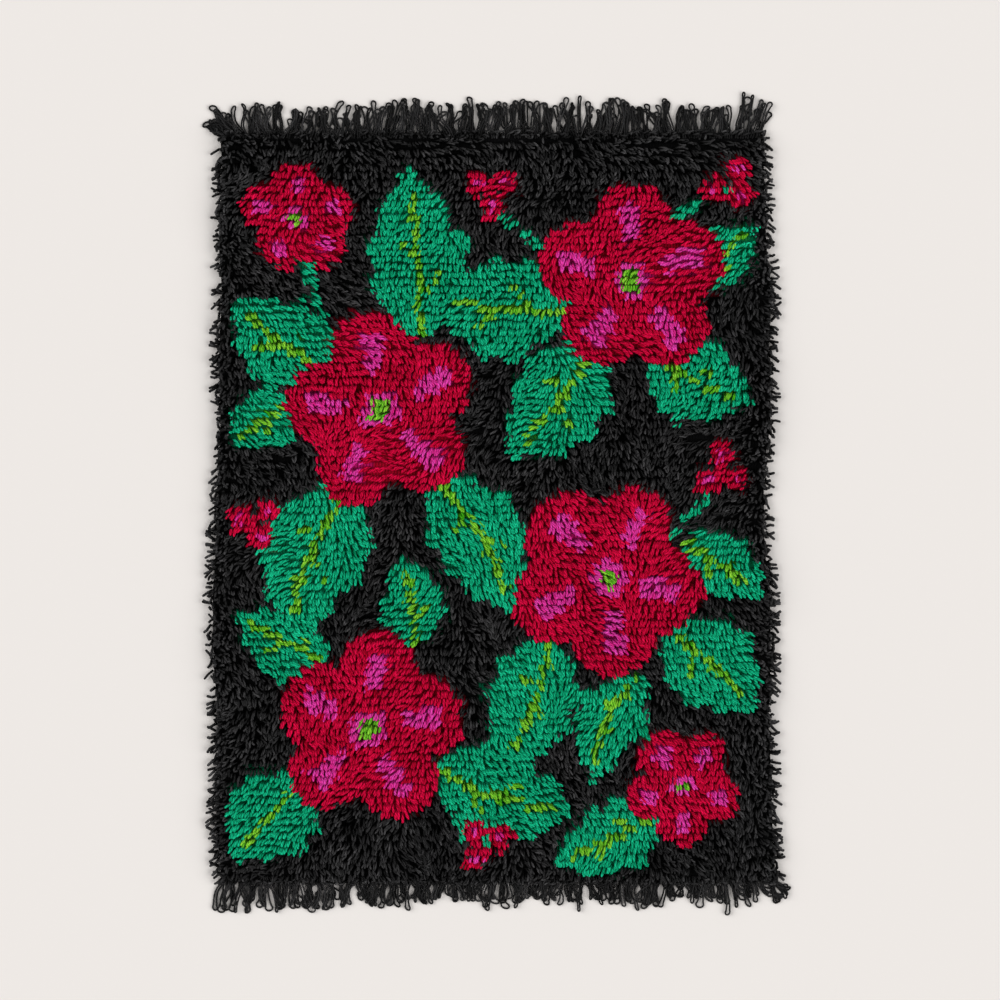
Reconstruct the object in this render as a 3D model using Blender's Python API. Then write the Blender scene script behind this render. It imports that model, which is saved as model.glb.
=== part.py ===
"""A hand-knotted shag rug with looped fringes, lying flat.

The origin is the centre of the rug's underside, +Y points to the upper fringe and +Z is up.
Three solids: the pile field, a lumpy slab with locks along its two long sides, and a fringe at
each end, a narrow root strip with uncut warp loops that rest level on the floor.
"""

import math
import random

import bmesh
import bpy
from mathutils import Vector, noise

MM = 0.001

# Driving sizes, in millimetres.
FIELD_LENGTH = 1101.0
PILE_HEIGHT = 18.0
LUMP_HEIGHT = 8.5
RIM_HEIGHT = 14.0
RIM_FALL = 34.0
RIM_LUMP_SHARE = 0.35
RIM_INSET = 5.0
SOLID_GAP = 0.3

# Rings of the slab's wall under its rim: height, and how far each stands out from the field's
# edge at the long sides and at the ends, where the pile hangs over the fringe's root strip.
BULGE_RING = {"height": 9.5, "at_sides": 0.0, "at_ends": 4.5}
NECK_RING = {"height": 6.2, "at_sides": -1.0, "at_ends": 0.0}
FOOT_RING = {"height": 0.0, "at_sides": -3.5, "at_ends": 0.0}

# The slab's top is a net of cells, and its long walls have two faces for each row of cells.
# A lump's size is its width, its length and its level in the noise.
CELLS_ACROSS = 37
CELLS_ALONG = 50
WIDE_LUMP = (96.0, 74.0, 3.7)
SMALL_LUMP = (46.0, 48.0, 9.2)
SMALL_LUMP_SHARE = 0.6
LAY_SHIFT = 16.0

# Locks of yarn that stand out of the long walls, in a pattern of faces that repeats.
LOCK_REACH = (4.5, 12.5)
LOCK_TIP_WIDTH = 5.0
LOCK_TIP_HEIGHT = 4.0
LOCK_DRIFT = 3.0
LOCK_REPEAT = 5
LOWER_LOCK_PLACES = (0, 2)
UPPER_LOCK_PLACES = (1, 3)
UPPER_LOCK_DROOP = (1.0, 4.5)
LOCK_SEED = 4

# The fringe's root strip and its cord.
STRIP_WIDTH = 8.0
STRIP_HEIGHT = 5.0
STRIP_END_INSET = 3.0
CORD = 2.8
LEG_SPACING = 4.6
EYE_WIDTH = 7.8
EYE_LENGTH = 9.0
EYE_TIP_SHARE = 0.5
LOOP_CLEARANCE = 1.4
SPREADING_PASSES = 200
SHARPEST_MITRE = 0.6
LOOPS = 62
LOOPS_IN_A_BLOCK = 2
REACH_SCATTER = 3.0
LEAN_SCATTER = 1.2
CLUMP_GATHER = 0.32
CORNER_FLARE_LOOPS = 3
LEAN_RUN = 38.0

# Finishes: linear colour and roughness.
BLACK_PILE = ((0.007, 0.007, 0.007), 0.95)
BLACK_CORD = ((0.007, 0.007, 0.008), 0.9)

# The field's uneven long sides: height up the rug, and the reach of the left and right edges.
SIDE_ROWS = (
    {"up": 551, "left": 405, "right": 398},
    {"up": 489, "left": 402, "right": 401},
    {"up": 400, "left": 407, "right": 404},
    {"up": 312, "left": 403, "right": 411},
    {"up": 224, "left": 407, "right": 408},
    {"up": 136, "left": 405, "right": 411},
    {"up": 48, "left": 407, "right": 401},
    {"up": -40, "left": 411, "right": 401},
    {"up": -136, "left": 416, "right": 410},
    {"up": -217, "left": 415, "right": 411},
    {"up": -305, "left": 409, "right": 408},
    {"up": -393, "left": 408, "right": 411},
    {"up": -452, "left": 411, "right": 413},
    {"up": -551, "left": 404, "right": 418},
)

# How far the loops reach past the field, at places across the rug.
UPPER_REACH_ROWS = (
    {"across": -420, "reach": 41},
    {"across": -330, "reach": 43},
    {"across": -290, "reach": 34},
    {"across": -190, "reach": 40},
    {"across": -115, "reach": 48},
    {"across": -40, "reach": 46},
    {"across": -10, "reach": 54},
    {"across": 50, "reach": 50},
    {"across": 135, "reach": 41},
    {"across": 165, "reach": 51},
    {"across": 250, "reach": 43},
    {"across": 330, "reach": 44},
    {"across": 370, "reach": 51},
    {"across": 420, "reach": 46},
)
LOWER_REACH_ROWS = (
    {"across": -420, "reach": 42},
    {"across": -300, "reach": 40},
    {"across": -215, "reach": 37},
    {"across": -130, "reach": 36},
    {"across": -60, "reach": 30},
    {"across": 15, "reach": 36},
    {"across": 50, "reach": 29},
    {"across": 120, "reach": 33},
    {"across": 170, "reach": 29},
    {"across": 222, "reach": 38},
    {"across": 280, "reach": 29},
    {"across": 335, "reach": 33},
    {"across": 420, "reach": 31},
)

# The loops lie in clumps that lean together: loops in the clump, and its lean at the tips.
UPPER_CLUMPS = (
    {"loops": 4, "lean": -17},
    {"loops": 5, "lean": 3},
    {"loops": 4, "lean": 9},
    {"loops": 6, "lean": -5},
    {"loops": 5, "lean": 6},
    {"loops": 4, "lean": -8},
    {"loops": 6, "lean": 4},
    {"loops": 5, "lean": -6},
    {"loops": 5, "lean": 8},
    {"loops": 6, "lean": -4},
    {"loops": 4, "lean": -9},
    {"loops": 5, "lean": 5},
    {"loops": 3, "lean": 12},
)
LOWER_CLUMPS = (
    {"loops": 4, "lean": -7},
    {"loops": 6, "lean": 4},
    {"loops": 5, "lean": -6},
    {"loops": 4, "lean": 8},
    {"loops": 5, "lean": -4},
    {"loops": 6, "lean": 5},
    {"loops": 5, "lean": -9},
    {"loops": 4, "lean": -2},
    {"loops": 5, "lean": 7},
    {"loops": 6, "lean": -5},
    {"loops": 4, "lean": 3},
    {"loops": 4, "lean": 9},
    {"loops": 4, "lean": 15},
)


def eased(rows, key, value, at):
    """The value of a table at a place, eased from row to row."""
    rows = sorted(rows, key=lambda row: row[key])
    if at <= rows[0][key]:
        return float(rows[0][value])
    for low, high in zip(rows, rows[1:]):
        if at <= high[key]:
            share = (at - low[key]) / (high[key] - low[key])
            share = share * share * (3 - 2 * share)
            return low[value] + (high[value] - low[value]) * share
    return float(rows[-1][value])


def side_edges(up):
    """The left and right edges of the field at a height up the rug."""
    left = -eased(SIDE_ROWS, "up", "left", up)
    right = eased(SIDE_ROWS, "up", "right", up)
    return left, right


def swell(across, up, size):
    """One size of lump, from -1 to 1."""
    width, length, level = size
    return noise.noise(Vector((across / width, up / length, level)))


def lump(across, up):
    """The pile's lumps, with their crests pushed the way the pile lies."""
    up += LAY_SHIFT * swell(across, up, WIDE_LUMP)
    return swell(across, up, WIDE_LUMP) + SMALL_LUMP_SHARE * swell(across, up, SMALL_LUMP)


def pile_top(across, up):
    """The height of the pile, which rounds down to the rim."""
    left, right = side_edges(up)
    from_side = min(across - left, right - across)
    from_end = FIELD_LENGTH / 2 - abs(up)
    fall = 1.0
    for distance in (from_side, from_end):
        share = min(max(distance / RIM_FALL, 0.0), 1.0)
        fall = min(fall, math.sqrt(1 - (1 - share) ** 2))
    height = RIM_HEIGHT + (PILE_HEIGHT - RIM_HEIGHT) * fall
    lumpiness = RIM_LUMP_SHARE + (1 - RIM_LUMP_SHARE) * fall
    return height + LUMP_HEIGHT * lump(across, up) * lumpiness


def make_object(name, bm, finish):
    """Turn a finished bmesh in millimetres into a named object with its own material."""
    colour, roughness = finish
    bmesh.ops.scale(bm, vec=(MM, MM, MM), verts=bm.verts)
    bmesh.ops.recalc_face_normals(bm, faces=bm.faces)
    mesh = bpy.data.meshes.new(name)
    bm.to_mesh(mesh)
    bm.free()
    material = bpy.data.materials.new(name)
    material.use_nodes = True
    shader = material.node_tree.nodes["Principled BSDF"]
    shader.inputs["Base Color"].default_value = (*colour, 1.0)
    shader.inputs["Roughness"].default_value = roughness
    shader.inputs["Metallic"].default_value = 0.0
    mesh.materials.append(material)
    piece = bpy.data.objects.new(name, mesh)
    bpy.context.scene.collection.objects.link(piece)
    return piece


def ring_below(bm, edges, ring):
    """Extrude the slab's open rim to its next ring down.

    Returns the new ring's edges and, for the left and right sides, the wall's new faces.
    """
    made = bmesh.ops.extrude_edge_only(bm, edges=edges)["geom"]
    verts = [item for item in made if isinstance(item, bmesh.types.BMVert)]
    near = RIM_INSET * 2
    for vert in verts:
        left, right = side_edges(vert.co.y)
        at_end = FIELD_LENGTH / 2 - abs(vert.co.y) < near
        if vert.co.x - left < near:
            vert.co.x = left - ring["at_sides"]
        elif right - vert.co.x < near:
            vert.co.x = right + ring["at_sides"]
        if at_end:
            vert.co.y = math.copysign(FIELD_LENGTH / 2 + ring["at_ends"], vert.co.y)
        vert.co.z = ring["height"]
    walls = {-1: [], 1: []}
    for face in made:
        if isinstance(face, bmesh.types.BMFace):
            ups = [vert.co.y for vert in face.verts]
            across = face.calc_center_median().x
            left, right = side_edges(sum(ups) / len(ups))
            if min(across - left, right - across) < near and max(ups) - min(ups) > 1:
                walls[-1 if across < 0 else 1].append(face)
    for faces in walls.values():
        faces.sort(key=lambda face: face.calc_center_median().y)
    return [item for item in made if isinstance(item, bmesh.types.BMEdge)], walls


def draw_out_lock(bm, face, side, tip_height, rng):
    """Draw one lock out of a wall face, tapering to its tip."""
    made = bmesh.ops.extrude_discrete_faces(bm, faces=[face])["faces"][0]
    middle = made.calc_center_median()
    reach = rng.uniform(*LOCK_REACH)
    drift = rng.uniform(-LOCK_DRIFT, LOCK_DRIFT)
    for vert in made.verts:
        up_sign = 1 if vert.co.y > middle.y else -1
        top_sign = 1 if vert.co.z > middle.z else 0
        vert.co.x = middle.x + side * reach
        vert.co.y = middle.y + drift + up_sign * LOCK_TIP_WIDTH / 2
        vert.co.z = tip_height + top_sign * LOCK_TIP_HEIGHT


def build_pile():
    """The pile field: a lumpy slab with a flat underside and locks along its long sides."""
    bm = bmesh.new()
    bmesh.ops.create_grid(bm, x_segments=CELLS_ACROSS, y_segments=CELLS_ALONG, size=1.0)
    top_length = FIELD_LENGTH / 2 - RIM_INSET
    for vert in bm.verts:
        up = vert.co.y * top_length
        left, right = side_edges(up)
        left, right = left + RIM_INSET, right - RIM_INSET
        across = left + (right - left) * (vert.co.x + 1) / 2
        vert.co = (across, up, pile_top(across, up))
    rim = [edge for edge in bm.edges if edge.is_boundary]
    sides = [edge for edge in rim if abs(edge.verts[0].co.y - edge.verts[1].co.y) > 1]
    bmesh.ops.subdivide_edges(bm, edges=sides, cuts=1)
    rim = [edge for edge in bm.edges if edge.is_boundary]
    bulge, upper_walls = ring_below(bm, rim, BULGE_RING)
    neck, _ = ring_below(bm, bulge, NECK_RING)
    foot, lower_walls = ring_below(bm, neck, FOOT_RING)
    bmesh.ops.contextual_create(bm, geom=foot)
    bmesh.ops.recalc_face_normals(bm, faces=bm.faces)

    rng = random.Random(LOCK_SEED)
    for side in (-1, 1):
        for place, face in enumerate(lower_walls[side][1:-1]):
            if place % LOCK_REPEAT in LOWER_LOCK_PLACES:
                draw_out_lock(bm, face, side, 0.0, rng)
        for place, face in enumerate(upper_walls[side][1:-1]):
            if place % LOCK_REPEAT in UPPER_LOCK_PLACES:
                droop = rng.uniform(*UPPER_LOCK_DROOP)
                draw_out_lock(bm, face, side, BULGE_RING["height"] - droop, rng)
    return make_object("rug_pile", bm, BLACK_PILE)


def loop_tips(clumps, roots, rng):
    """Where each loop's tip lies across the rug, leaning with its clump and clear of the next."""
    tips = []
    for clump in clumps:
        members = roots[len(tips):len(tips) + clump["loops"]]
        middle = sum(members) / len(members)
        for root in members:
            gathered = root + (middle - root) * CLUMP_GATHER
            tips.append(gathered + clump["lean"] + rng.uniform(-LEAN_SCATTER, LEAN_SCATTER))
    apart = EYE_WIDTH + LOOP_CLEARANCE
    for _ in range(SPREADING_PASSES):
        for index in range(len(tips) - 1):
            short = apart - (tips[index + 1] - tips[index])
            if short > 0:
                tips[index] -= short / 2
                tips[index + 1] += short / 2
    return tips


def loop_path(root, tip, start, reach):
    """A loop's centre line on the floor: out along one leg, round its eye and back.

    The points are (across, out), with out measured from the field's end. tip is where a loop
    that ran out by LEAN_RUN would end, so neighbours of unlike length keep clear of each other.
    """
    half_leg = LEG_SPACING / 2
    half_eye = (EYE_WIDTH - CORD) / 2
    run = reach - CORD / 2 - start
    lean = (tip - root) / LEAN_RUN

    def at(offset, out):
        return (root + offset + lean * (out - start), out)

    eye = start + run - EYE_LENGTH
    turn = start + run - half_eye
    return [
        at(-half_leg, start),
        at(-half_leg, eye),
        at(-half_eye, turn),
        at(-half_eye * EYE_TIP_SHARE, start + run),
        at(half_eye * EYE_TIP_SHARE, start + run),
        at(half_eye, turn),
        at(half_leg, eye),
        at(half_leg, start),
    ]


def mitre(before, here, after):
    """The sideways offset of the cord's edge at a point of its path."""
    incoming = (Vector(here) - Vector(before)).normalized()
    outgoing = (Vector(after) - Vector(here)).normalized()
    along = (incoming + outgoing).normalized()
    side = Vector((-along.y, along.x))
    square_on = side.dot(Vector((-incoming.y, incoming.x)))
    return side * (CORD / 2) / max(square_on, SHARPEST_MITRE)


def add_loop(bm, first_root, last_root, path, end):
    """Run a square cord along a path, from one hole in the strip's wall to the other."""
    rings = [first_root]
    for before, here, after in zip(path, path[1:], path[2:]):
        side = mitre(before, here, after)
        ring = []
        for sign, height in ((-1, 0.0), (1, 0.0), (1, CORD), (-1, CORD)):
            across = here[0] + sign * side.x
            out = here[1] + sign * side.y
            ring.append(bm.verts.new((across, end * (FIELD_LENGTH / 2 + out), height)))
        rings.append(ring)
    rings.append(last_root)
    for ring, onward in zip(rings, rings[1:]):
        for corner in range(4):
            following = (corner + 1) % 4
            bm.faces.new((ring[corner], ring[following], onward[following], onward[corner]))


def strip_cut(vert, across):
    """A cut through the root strip, with a point at the cord's height on its outer wall."""
    inner, outer = SOLID_GAP, SOLID_GAP + STRIP_WIDTH
    return {
        "inner_low": vert(across, inner, 0.0),
        "inner_high": vert(across, inner, STRIP_HEIGHT),
        "outer_high": vert(across, outer, STRIP_HEIGHT),
        "outer_cord": vert(across, outer, CORD),
        "outer_low": vert(across, outer, 0.0),
    }


def close_block(bm, before, after, low_line, cord_line):
    """Close the strip between two cuts, leaving the holes that its loops grow from.

    low_line and cord_line run along the outer wall at the floor and at the cord's height, and
    every second stretch between them is a loop's foot.
    """
    for place in range(0, len(low_line) - 1, 2):
        bm.faces.new((low_line[place], low_line[place + 1],
                      cord_line[place + 1], cord_line[place]))
    bm.faces.new([*cord_line, after["outer_high"], before["outer_high"]])
    bm.faces.new([*reversed(low_line), before["inner_low"], after["inner_low"]])
    bm.faces.new((before["outer_high"], after["outer_high"],
                  after["inner_high"], before["inner_high"]))
    bm.faces.new((before["inner_high"], after["inner_high"],
                  after["inner_low"], before["inner_low"]))


def build_fringe(name, end, clumps, reach_rows, flare, seed):
    """One end's fringe: a root strip along the field's end and the loops that grow from it.

    end is 1 for the upper end and -1 for the lower one, and flare is the extra lean of the
    outermost loops at the left and right corners.
    """
    rng = random.Random(seed)
    left, right = side_edges(end * FIELD_LENGTH / 2)
    left, right = left + STRIP_END_INSET, right - STRIP_END_INSET
    pitch = (right - left) / LOOPS
    roots = [left + pitch * (index + 0.5) for index in range(LOOPS)]
    tips = loop_tips(clumps, roots, rng)
    for index in range(CORNER_FLARE_LOOPS):
        share = 1 - index / CORNER_FLARE_LOOPS
        tips[index] -= flare["left"] * share
        tips[-1 - index] += flare["right"] * share

    bm = bmesh.new()
    outer = SOLID_GAP + STRIP_WIDTH

    def vert(across, out, height):
        return bm.verts.new((across, end * (FIELD_LENGTH / 2 + out), height))

    first_cut = strip_cut(vert, left)
    before = first_cut
    for block in range(0, LOOPS, LOOPS_IN_A_BLOCK):
        low_line = [before["outer_low"]]
        cord_line = [before["outer_cord"]]
        for index in range(block, block + LOOPS_IN_A_BLOCK):
            legs = [roots[index] + leg * LEG_SPACING / 2 for leg in (-1, 1)]
            feet = [leg + edge * CORD / 2 for leg in legs for edge in (-1, 1)]
            low = [vert(foot, outer, 0.0) for foot in feet]
            high = [vert(foot, outer, CORD) for foot in feet]
            low_line += low
            cord_line += high
            reach = eased(reach_rows, "across", "reach", roots[index])
            reach += rng.uniform(-REACH_SCATTER, REACH_SCATTER)
            path = loop_path(roots[index], tips[index], outer, reach)
            first = [low[1], low[0], high[0], high[1]]
            last = [low[2], low[3], high[3], high[2]]
            add_loop(bm, first, last, path, end)
        after = strip_cut(vert, left + pitch * (block + LOOPS_IN_A_BLOCK))
        low_line.append(after["outer_low"])
        cord_line.append(after["outer_cord"])
        close_block(bm, before, after, low_line, cord_line)
        before = after
    for cut in (first_cut, before):
        bm.faces.new(list(cut.values()))
    return make_object(name, bm, BLACK_CORD)


def main():
    """Clear the scene and build the rug's three solids."""
    for item in list(bpy.data.objects):
        bpy.data.objects.remove(item)
    build_pile()
    build_fringe("fringe_upper", 1, UPPER_CLUMPS, UPPER_REACH_ROWS,
                 {"left": 23.0, "right": 3.0}, 11)
    build_fringe("fringe_lower", -1, LOWER_CLUMPS, LOWER_REACH_ROWS,
                 {"left": 3.0, "right": 25.0}, 12)


main()
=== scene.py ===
"""A hand-knotted shag rug with looped fringes, dressed over its three solids.

The rug lies on the floor with its upper fringe towards +Y. Lengths are in metres and angles in
degrees, apart from the outline, the design and the fringes' tables and leans, whose lengths are
in millimetres.
"""

import logging
import math
from dataclasses import dataclass, field
from enum import Enum

import bpy
import numpy as np
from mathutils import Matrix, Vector, noise
from mathutils.bvhtree import BVHTree


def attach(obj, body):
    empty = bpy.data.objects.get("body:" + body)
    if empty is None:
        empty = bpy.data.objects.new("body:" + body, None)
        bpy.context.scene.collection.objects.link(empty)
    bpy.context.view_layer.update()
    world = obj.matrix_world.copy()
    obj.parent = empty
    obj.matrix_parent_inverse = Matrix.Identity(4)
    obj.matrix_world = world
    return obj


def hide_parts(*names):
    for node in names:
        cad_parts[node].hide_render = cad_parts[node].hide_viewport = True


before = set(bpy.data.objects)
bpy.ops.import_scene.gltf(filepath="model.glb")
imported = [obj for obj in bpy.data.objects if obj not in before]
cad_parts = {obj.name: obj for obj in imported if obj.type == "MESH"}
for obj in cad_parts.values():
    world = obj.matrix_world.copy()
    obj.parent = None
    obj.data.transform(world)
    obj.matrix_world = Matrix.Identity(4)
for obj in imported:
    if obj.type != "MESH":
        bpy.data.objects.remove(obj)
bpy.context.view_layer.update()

log = logging.getLogger("rug")
MM = 0.001
FIELD_LENGTH = 1.101
Colour = tuple[float, float, float]
Socket = bpy.types.NodeSocket


class Yarn(Enum):
    """The yarns of the pile, each by the material slot that it takes."""

    BLACK = "ground_pile"
    CRIMSON = "crimson_pile"
    MAGENTA = "magenta_pile"
    GREEN = "green_pile"
    LIME = "lime_pile"

    @property
    def mark(self) -> int:
        """Give the yarn's number in a chart."""
        return list(Yarn).index(self)


class End(Enum):
    """The rug's two ends, each by its side along Y."""

    UPPER = 1
    LOWER = -1


@dataclass(frozen=True)
class OutlineRow:
    """How far the field reaches to its uneven sides at one height, in millimetres."""

    up: float
    left: float
    right: float


OUTLINE = (
    OutlineRow(-551, 404, 418),
    OutlineRow(-452, 411, 413),
    OutlineRow(-393, 408, 411),
    OutlineRow(-305, 409, 408),
    OutlineRow(-217, 415, 411),
    OutlineRow(-136, 416, 410),
    OutlineRow(-40, 411, 401),
    OutlineRow(48, 407, 401),
    OutlineRow(136, 405, 411),
    OutlineRow(224, 407, 408),
    OutlineRow(312, 403, 411),
    OutlineRow(400, 407, 404),
    OutlineRow(489, 402, 401),
    OutlineRow(551, 405, 398),
)


def eased(at: np.ndarray, places: list[float], values: list[float]) -> np.ndarray:
    """Read a short table at many places, eased from row to row.

    Args:
        at: the places to read.
        places: the rows' places, rising.
        values: the rows' values.

    Returns:
        One value for each place.
    """
    row = np.clip(np.searchsorted(places, at) - 1, 0, len(places) - 2)
    low, high = np.take(places, row), np.take(places, row + 1)
    share = np.clip((at - low) / (high - low), 0.0, 1.0)
    share = share * share * (3 - 2 * share)
    return np.take(values, row) * (1 - share) + np.take(values, row + 1) * share


def side_edges(up: np.ndarray) -> tuple[np.ndarray, np.ndarray]:
    """Find the field's left and right edges at heights up the rug.

    Args:
        up: the heights.

    Returns:
        The left and the right edges.
    """
    places = [row.up * MM for row in OUTLINE]
    left = -eased(up, places, [row.left * MM for row in OUTLINE])
    right = eased(up, places, [row.right * MM for row in OUTLINE])
    return left, right


def placed(name: str, data: bpy.types.ID) -> bpy.types.Object:
    """Put a mesh, a lamp or a camera in the scene.

    Args:
        name: the object's name.
        data: what it shows.

    Returns:
        The object.
    """
    thing = bpy.data.objects.new(name, data)
    bpy.context.scene.collection.objects.link(thing)
    return thing


@dataclass(frozen=True)
class Swell:
    """Smooth unevenness over the rug, in swells of one size."""

    size: float
    level: float
    strength: float = 1.0

    def over(self, across: np.ndarray, up: np.ndarray) -> np.ndarray:
        """Read the unevenness at many places.

        Args:
            across: places across the rug.
            up: places up the rug.

        Returns:
            Values between about minus the strength and the strength.
        """
        return self.strength * np.array([
            noise.noise(Vector((x / self.size, y / self.size, self.level)))
            for x, y in zip(across, up)])


class NodeSketch:
    """A node tree as it is drawn, with short calls for its nodes and links."""

    def __init__(self, tree: bpy.types.NodeTree) -> None:
        """Start on a tree."""
        self.tree = tree

    def add(self, kind: str, given: dict[str | int, object] | None = None,
            **settings: object) -> bpy.types.Node:
        """Add a node.

        Args:
            kind: the node's type name.
            given: sockets or constants for its inputs, by their names or places.
            settings: its properties.

        Returns:
            The node.
        """
        node = self.tree.nodes.new(kind)
        for name, value in settings.items():
            setattr(node, name, value)
        for place, value in (given or {}).items():
            self.feed(node.inputs[place], value)
        return node

    def feed(self, socket: Socket, value: object) -> None:
        """Link an input to another socket, or give it a constant.

        Args:
            socket: the input.
            value: an output socket or a constant.
        """
        if isinstance(value, Socket):
            self.tree.links.new(value, socket)
        else:
            socket.default_value = value

    def maths(self, operation: str, *values: object, clamp: bool = False) -> Socket:
        """Add a sum on numbers.

        Args:
            operation: the sum's name.
            values: its terms.
            clamp: whether the result is kept from 0 to 1.

        Returns:
            The result.
        """
        node = self.add("ShaderNodeMath", dict(enumerate(values)), operation=operation,
                        use_clamp=clamp)
        return node.outputs[0]

    def vectors(self, operation: str, *values: object) -> Socket:
        """Add a sum on vectors.

        Args:
            operation: the sum's name.
            values: its terms.

        Returns:
            The result.
        """
        node = self.add("ShaderNodeVectorMath", dict(enumerate(values)), operation=operation)
        return node.outputs["Value" if operation == "LENGTH" else "Vector"]

    def scaled(self, vector: Socket, factor: Socket) -> Socket:
        """Multiply a vector by a number.

        Args:
            vector: the vector.
            factor: the number.

        Returns:
            The product.
        """
        given = {0: vector, "Scale": factor}
        return self.add("ShaderNodeVectorMath", given, operation="SCALE").outputs["Vector"]

    def combined(self, *values: object) -> Socket:
        """Join three numbers into a vector."""
        return self.add("ShaderNodeCombineXYZ", dict(enumerate(values))).outputs[0]

    def parts(self, vector: Socket) -> bpy.types.NodeOutputs:
        """Part a vector into its X, Y and Z."""
        return self.add("ShaderNodeSeparateXYZ", {0: vector}).outputs


class ShaderSketch(NodeSketch):
    """A material as it is drawn, on the standard shader."""

    def __init__(self, name: str, roughness: float, specular: float) -> None:
        """Start a material.

        Args:
            name: its name.
            roughness: the shader's roughness.
            specular: the shader's specular level.
        """
        self.material = bpy.data.materials.new(name)
        self.material.use_nodes = True
        super().__init__(self.material.node_tree)
        self.shader = self.tree.nodes["Principled BSDF"]
        self.shader.inputs["Roughness"].default_value = roughness
        self.shader.inputs["Specular IOR Level"].default_value = specular

    def attribute(self, name: str) -> bpy.types.NodeOutputs:
        """Read one of the piece's attributes."""
        return self.add("ShaderNodeAttribute", attribute_name=name).outputs

    def place(self) -> Socket:
        """Read the place on the piece."""
        return self.add("ShaderNodeTexCoord").outputs["Object"]

    def speckle(self, scale: float, detail: float) -> Socket:
        """Add noise over the piece.

        Args:
            scale: how many speckles a metre holds.
            detail: how far they break up into finer ones.

        Returns:
            The noise, about 0.5.
        """
        given = {"Vector": self.place(), "Scale": scale, "Detail": detail}
        return self.add("ShaderNodeTexNoise", given).outputs[0]

    def mixed(self, share: object, one: object, two: object, blend: str = "MIX") -> Socket:
        """Mix two colours.

        Args:
            share: how much of the second one there is.
            one: the first colour.
            two: the second colour.
            blend: the way they mix.

        Returns:
            The mixed colour.
        """
        node = self.add("ShaderNodeMix", {0: share, 6: one, 7: two}, data_type="RGBA",
                        blend_type=blend)
        return node.outputs[2]

    def colour(self, tint: Socket, shade: Socket) -> None:
        """Colour the shader.

        Args:
            tint: the colour in full light.
            shade: the painted shade, what is left of it, from 0 to 1.
        """
        grey = self.combined(shade, shade, shade)
        self.feed(self.shader.inputs["Base Color"], self.mixed(1.0, tint, grey, "MULTIPLY"))

    def emboss(self, height: Socket, strength: float, depth: float) -> None:
        """Raise the surface where a height is high.

        Args:
            height: the height, from 0 to about 1.
            strength: how strongly it shows.
            depth: the length that a height of 1 stands for.
        """
        given = {"Strength": strength, "Distance": depth, "Height": height}
        bump = self.add("ShaderNodeBump", given)
        self.feed(self.shader.inputs["Normal"], bump.outputs[0])


@dataclass(frozen=True)
class YarnFinish:
    """Plied, slightly fuzzy yarn, with painted shade between its plies and deep in the pile, and
    uneven from strand to strand.

    A strand carries its tone, from deep to bright; its rise, from root to tip; and its ply, the
    way round it as a cosine and a sine, with the length along it.
    """

    slot: str
    deep: Colour
    bright: Colour
    roughness: float = 0.8
    specular: float = 0.04
    tone_power: float = 1.0
    patch_scale: float = 14.0
    patch_detail: float = 3.0
    patch_share: float = 0.5
    plies: float = 2.0
    twist_length: float = 6.5 * MM
    ridge_power: float = 0.6
    # Painted shade: groove_shade darkens the grooves between the plies; root_shade, from
    # root_start to root_reach, darkens the strand deep in the pile.
    groove_shade: float = 0.6
    root_shade: float = 0.65
    root_start: float = 0.2
    root_reach: float = 0.7
    fibre_scale: float = 1900.0
    fibre_detail: float = 2.0
    fibre_height: float = 0.35
    bump: float = 0.8
    bump_depth: float = 0.9 * MM

    def material(self) -> bpy.types.Material:
        """Build the yarn's material.

        Returns:
            The material.
        """
        sketch = ShaderSketch(self.slot, self.roughness, self.specular)
        ridge = self.ridge(sketch)
        # The dye is darkened by painted shade, between the plies and towards the roots.
        shade = sketch.maths("MULTIPLY_ADD", ridge, self.groove_shade, 1 - self.groove_shade)
        shade = sketch.maths("MULTIPLY", shade, self.depth_shade(sketch))
        sketch.colour(self.tint(sketch), shade)
        fibre = sketch.speckle(self.fibre_scale, self.fibre_detail)
        height = sketch.maths("MULTIPLY_ADD", fibre, self.fibre_height, ridge)
        sketch.emboss(height, self.bump, self.bump_depth)
        return sketch.material

    def ridge(self, sketch: ShaderSketch) -> Socket:
        """Draw the plies' round backs, which wind along the strand.

        Args:
            sketch: the material being drawn.

        Returns:
            The height, 1 on a ply's back and 0 between two plies.
        """
        ply = sketch.parts(sketch.attribute("ply")["Vector"])
        around = sketch.maths("ARCTAN2", ply["Y"], ply["X"])
        along = sketch.maths("MULTIPLY", ply["Z"], 2 * math.pi / self.twist_length)
        turns = sketch.maths("ADD", sketch.maths("MULTIPLY", around, self.plies), along)
        wave = sketch.maths("MULTIPLY_ADD", sketch.maths("SINE", turns), 0.5, 0.5)
        return sketch.maths("POWER", wave, self.ridge_power)

    def tint(self, sketch: ShaderSketch) -> Socket:
        """Draw the dye, uneven from strand to strand and in wide patches.

        Args:
            sketch: the material being drawn.

        Returns:
            The colour.
        """
        patch = sketch.speckle(self.patch_scale, self.patch_detail)
        share = sketch.maths("MULTIPLY_ADD", patch, self.patch_share, -self.patch_share / 2)
        share = sketch.maths("ADD", share, sketch.attribute("tone")["Fac"], clamp=True)
        share = sketch.maths("POWER", share, self.tone_power)
        return sketch.mixed(share, (*self.deep, 1.0), (*self.bright, 1.0))

    def depth_shade(self, sketch: ShaderSketch) -> Socket:
        """Paint the shade that falls deep in the pile, darker towards the roots.

        Args:
            sketch: the material being drawn.

        Returns:
            The painted shade, from root_shade at the roots to 1 near the tips.
        """
        given = {"Value": sketch.attribute("rise")["Fac"], "From Min": self.root_start,
                 "From Max": self.root_reach, "To Min": self.root_shade}
        fade = sketch.add("ShaderNodeMapRange", given, interpolation_type="SMOOTHSTEP")
        return fade.outputs[0]


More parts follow.
